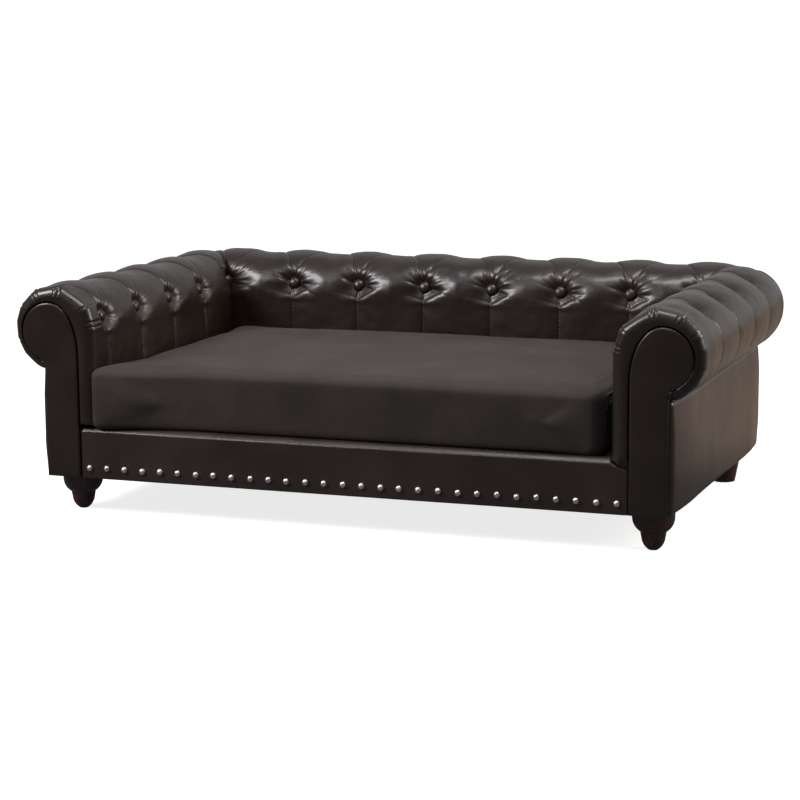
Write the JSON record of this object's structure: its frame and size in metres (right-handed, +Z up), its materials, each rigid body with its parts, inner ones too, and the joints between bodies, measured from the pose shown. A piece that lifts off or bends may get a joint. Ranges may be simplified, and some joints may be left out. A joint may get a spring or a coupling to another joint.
{
  "type": "dog sofa bed",
  "caption": "Low dog sofa with a button-tufted rolled back and arms, nail-head front rail, turned front feet, tapered rear feet and one loose seat cushion.",
  "frame": {"origin": "on the floor under the middle of the sofa's length and depth", "axes": "+X along the sofa to the right as seen from the front, +Y towards the back, +Z up"},
  "size_m": [1.12, 0.6822, 0.368],
  "materials": {
    "leather": "glossy dark espresso imitation leather with fine grain",
    "cushion_cloth": "matt brown-grey suede-like cloth",
    "foot_wood": "dark mahogany stain, satin lacquer",
    "nail_metal": "polished nickel",
    "frame_timber": "plain sawn pine and plywood",
    "hardboard": "brown hardboard",
    "steel": "zinc-plated steel",
    "dust_cloth": "black non-woven cloth",
    "foam": "pale upholstery foam",
    "zip_cloth": "black woven zip tape",
    "zip_metal": "black painted metal"
  },
  "bodies": {
    "sofa": {"front_rail_board": "frame_timber", "rear_rail_board": "frame_timber", "right_side_rail": "frame_timber", "left_side_rail": "frame_timber", "deck_cross_rails": "frame_timber", "deck_board": "frame_timber", "right_arm_bottom_rail": "frame_timber", "left_arm_bottom_rail": "frame_timber", "right_arm_stump": "frame_timber", "left_arm_stump": "frame_timber", "right_arm_posts": "frame_timber", "left_arm_posts": "frame_timber", "right_arm_roll_board": "frame_timber", "left_arm_roll_board": "frame_timber", "back_bottom_rail": "frame_timber", "back_posts": "frame_timber", "back_roll_board": "frame_timber", "right_arm_inner_board": "hardboard", "left_arm_inner_board": "hardboard", "back_inner_board": "hardboard", "right_arm_pad": "leather", "left_arm_pad": "leather", "back_pad": "leather", "right_outer_panel": "leather", "left_outer_panel": "leather", "back_outer_panel": "leather", "front_rail_cover": "leather", "right_scroll_panel": "leather", "left_scroll_panel": "leather", "right_arm_buttons": "leather", "left_arm_buttons": "leather", "back_buttons": "leather", "right_front_foot": "foot_wood", "left_front_foot": "foot_wood", "right_rear_foot": "foot_wood", "left_rear_foot": "foot_wood", "rail_screws": "steel", "dust_cover": "dust_cloth", "front_nail_heads": "nail_metal", "foot_bolts": "steel", "foot_tee_nuts": "steel"},
    "cushion": {"cushion_cover": "cushion_cloth", "cushion_foam": "foam", "zip_tape": "zip_cloth"},
    "slider": {"zip_slider": "zip_metal"},
    "pull": {"zip_pull": "zip_metal"}
  },
  "joints": [
    {"name": "cushion_lift", "type": "slide", "parent": "sofa", "child": "cushion", "axis": [0, 0, 1], "range_m": [0, 0.26]},
    {"name": "zip_travel", "type": "slide", "parent": "cushion", "child": "slider", "axis": [0, 1, 0], "range_m": [0, 0.405]},
    {"name": "pull_swing", "type": "hinge", "parent": "slider", "child": "pull", "pos_m": [0.4128, -0.295, 0.2213], "axis": [0, 0, 1], "range_deg": [0, 18]}
  ]
}
